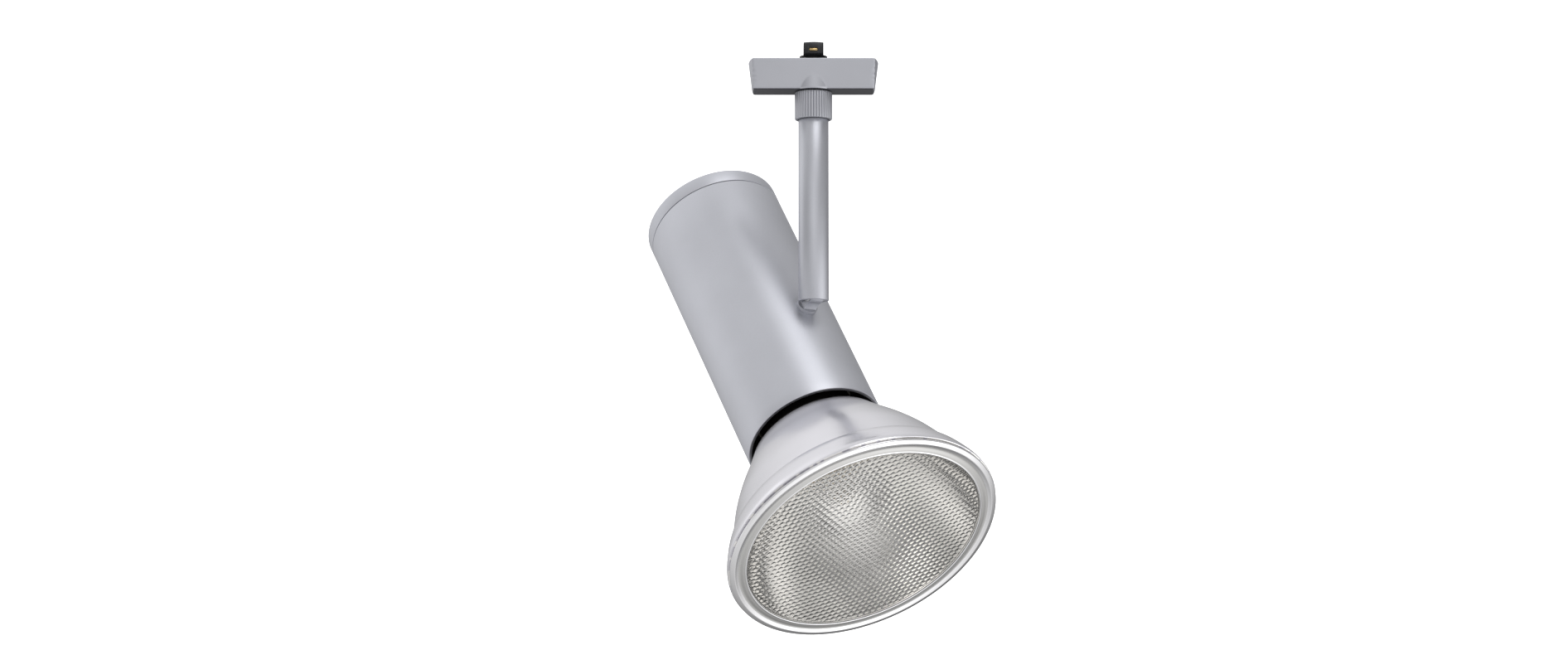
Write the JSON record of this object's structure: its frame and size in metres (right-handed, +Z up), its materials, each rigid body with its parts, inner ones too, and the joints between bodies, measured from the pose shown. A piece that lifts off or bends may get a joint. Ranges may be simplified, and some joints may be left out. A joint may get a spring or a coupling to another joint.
{
  "type": "track spotlight",
  "caption": "Rail spotlight: trough-shaped adapter with knurled lock ring, straight stem, and a tilting cylindrical head holding a dimpled-glass reflector lamp.",
  "frame": {"origin": "middle of the adapter's top rim, which seats against the underside of the rail, on the stem's axis", "axes": "+Z up, out of the adapter into the rail; X along the rail; the stem hangs along -Z; the lamp as stored leans 39 degrees from straight down, towards +X and -Y (58 degrees from +X)"},
  "size_m": [0.1216, 0.1464, 0.2071],
  "materials": {
    "adapter_housing": "satin silver-grey moulding",
    "adapter_lid": "dark grey insulating plate",
    "lid_screw_right": "zinc-plated",
    "lid_screw_left": "zinc-plated",
    "detent_spring": "bright spring strip",
    "lock_rotor": "zinc-plated, turned",
    "lock_ring": "satin silver-grey, straight-knurled",
    "rotor_head": "black insulating moulding",
    "contact_live": "bright contact blade",
    "contact_neutral": "bright contact blade",
    "contact_earth": "bright contact strip",
    "stem_tube": "satin silver-grey paint",
    "stem_insert": "turned",
    "nipple": "zinc-plated",
    "nipple_nut": "zinc-plated",
    "swivel_washer": "spring washer",
    "thrust_washer": "black nylon",
    "stem_cable": "grey sheathed cable",
    "hinge_fork": "turned plug with a milled slot",
    "pivot_pin": "socket-head pin",
    "hinge_washer_near": "friction washer",
    "hinge_washer_far": "friction washer",
    "head_tube": "satin silver-grey paint",
    "rear_cap": "satin silver-grey paint",
    "lug": "satin silver-grey paint",
    "lug_washer": "zinc-plated",
    "lug_nut": "zinc-plated",
    "strap_bracket": "zinc-plated strap",
    "lampholder": "unglazed white ceramic",
    "holder_screw_upper": "zinc-plated",
    "holder_screw_lower": "zinc-plated",
    "terminal_live": "plain",
    "terminal_neutral": "plain",
    "terminal_screw_live": "plain",
    "terminal_screw_neutral": "plain",
    "thread_shell": "nickelled",
    "centre_contact": "spring strip",
    "side_contact": "spring strip",
    "mouth_liner": "matt black",
    "earth_ring": "tinned ring terminal",
    "earth_screw": "plain",
    "wire_live": "brown sleeved conductor",
    "wire_neutral": "blue sleeved conductor",
    "wire_earth": "green and yellow conductor",
    "reflector_bowl": "aluminised pressed glass",
    "rim_seal": "dark sealing cement",
    "front_lens": "clear pressed glass, dimpled",
    "screw_base": "nickelled",
    "base_insulator": "black glass",
    "base_button": "tinned",
    "capsule": "clear quartz",
    "lead_left": "nickel wire",
    "lead_right": "nickel wire"
  },
  "bodies": {
    "adapter": {"adapter_housing": "adapter_housing", "adapter_lid": "adapter_lid", "lid_screw_right": "lid_screw_right", "lid_screw_left": "lid_screw_left", "detent_spring": "detent_spring"},
    "lock": {"lock_rotor": "lock_rotor", "lock_ring": "lock_ring", "rotor_head": "rotor_head", "contact_live": "contact_live", "contact_neutral": "contact_neutral", "contact_earth": "contact_earth"},
    "stem": {"stem_tube": "stem_tube", "stem_insert": "stem_insert", "nipple": "nipple", "nipple_nut": "nipple_nut", "swivel_washer": "swivel_washer", "thrust_washer": "thrust_washer", "stem_cable": "stem_cable", "hinge_fork": "hinge_fork", "pivot_pin": "pivot_pin", "hinge_washer_near": "hinge_washer_near", "hinge_washer_far": "hinge_washer_far"},
    "head": {"head_tube": "head_tube", "rear_cap": "rear_cap", "lug": "lug", "lug_washer": "lug_washer", "lug_nut": "lug_nut", "strap_bracket": "strap_bracket", "lampholder": "lampholder", "holder_screw_upper": "holder_screw_upper", "holder_screw_lower": "holder_screw_lower", "terminal_live": "terminal_live", "terminal_neutral": "terminal_neutral", "terminal_screw_live": "terminal_screw_live", "terminal_screw_neutral": "terminal_screw_neutral", "thread_shell": "thread_shell", "centre_contact": "centre_contact", "side_contact": "side_contact", "mouth_liner": "mouth_liner", "earth_ring": "earth_ring", "earth_screw": "earth_screw", "wire_live": "wire_live", "wire_neutral": "wire_neutral", "wire_earth": "wire_earth"},
    "lamp": {"reflector_bowl": "reflector_bowl", "rim_seal": "rim_seal", "front_lens": "front_lens", "screw_base": "screw_base", "base_insulator": "base_insulator", "base_button": "base_button", "capsule": "capsule", "lead_left": "lead_left", "lead_right": "lead_right"}
  },
  "joints": [
    {"name": "lock_turn", "type": "hinge", "parent": "adapter", "child": "lock", "pos_m": [0, 0, -0.0155], "axis": [0, 0, 1], "range_deg": [-90, 0]},
    {"name": "swivel", "type": "hinge", "parent": "lock", "child": "stem", "pos_m": [0, 0, -0.0155], "axis": [0, 0, 1], "range_deg": [-207, 143]},
    {"name": "tilt", "type": "hinge", "parent": "stem", "child": "head", "pos_m": [0, 0, -0.0822], "axis": [-0.848, -0.5299, 0], "range_deg": [-36, 51]},
    {"name": "lamp_withdraw", "type": "slide", "parent": "head", "child": "lamp", "axis": [0.3335, -0.5337, -0.7771], "range_m": [0, 0.045]}
  ]
}
